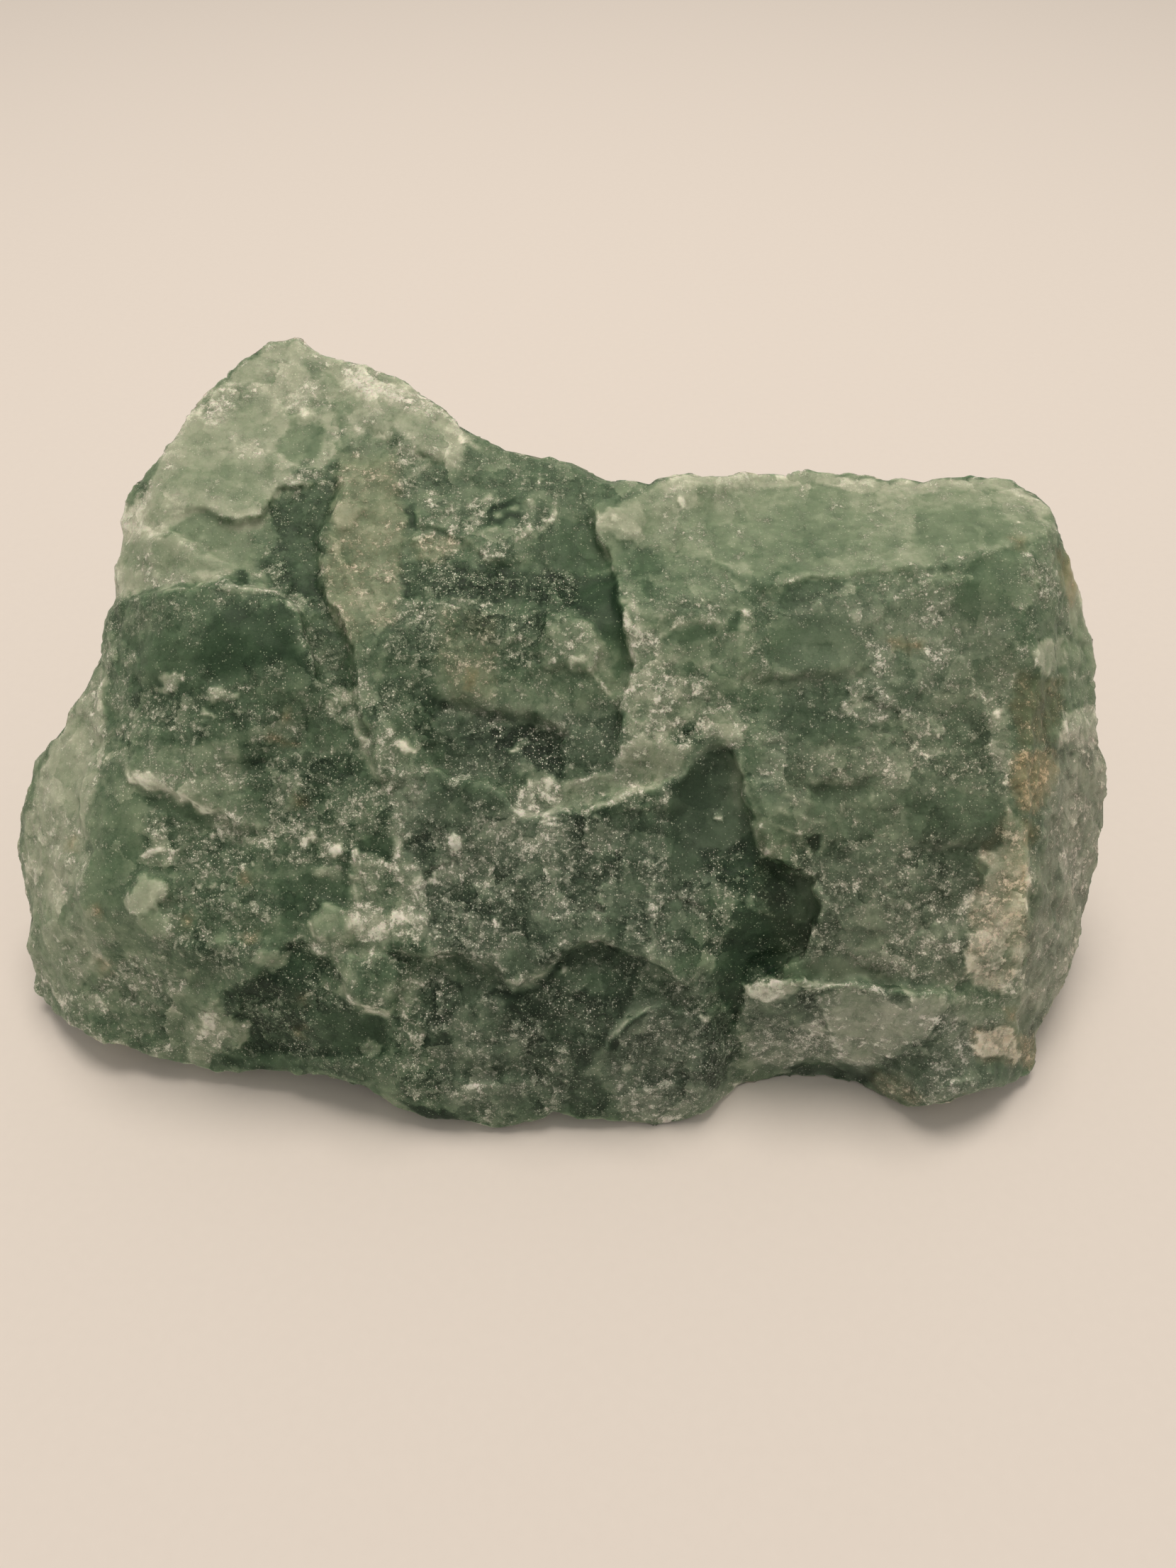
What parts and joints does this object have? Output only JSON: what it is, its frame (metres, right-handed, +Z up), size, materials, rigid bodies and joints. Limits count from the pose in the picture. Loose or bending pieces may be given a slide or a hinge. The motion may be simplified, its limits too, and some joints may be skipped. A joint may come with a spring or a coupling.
{
  "type": "fluorite specimen",
  "caption": "Rough hand specimen of cloudy green massive fluorite: a wedge-shaped chunk with ledges, pits and a thin pale crest, resting on a flat broken base.",
  "frame": {"origin": "middle of the footprint of the whole stone, in the plane of its flat resting face", "axes": "+X along the length, from the tall lobe to the square end; +Z up; the best face looks towards -Y and up"},
  "size_m": [0.1144, 0.0608, 0.0532],
  "materials": {
    "fluorite": "cloudy translucent green fluorite, glassy on fresh breaks and frosted or powdery elsewhere"
  },
  "bodies": {
    "root": {"fluorite_specimen": "fluorite"}
  },
  "joints": []
}
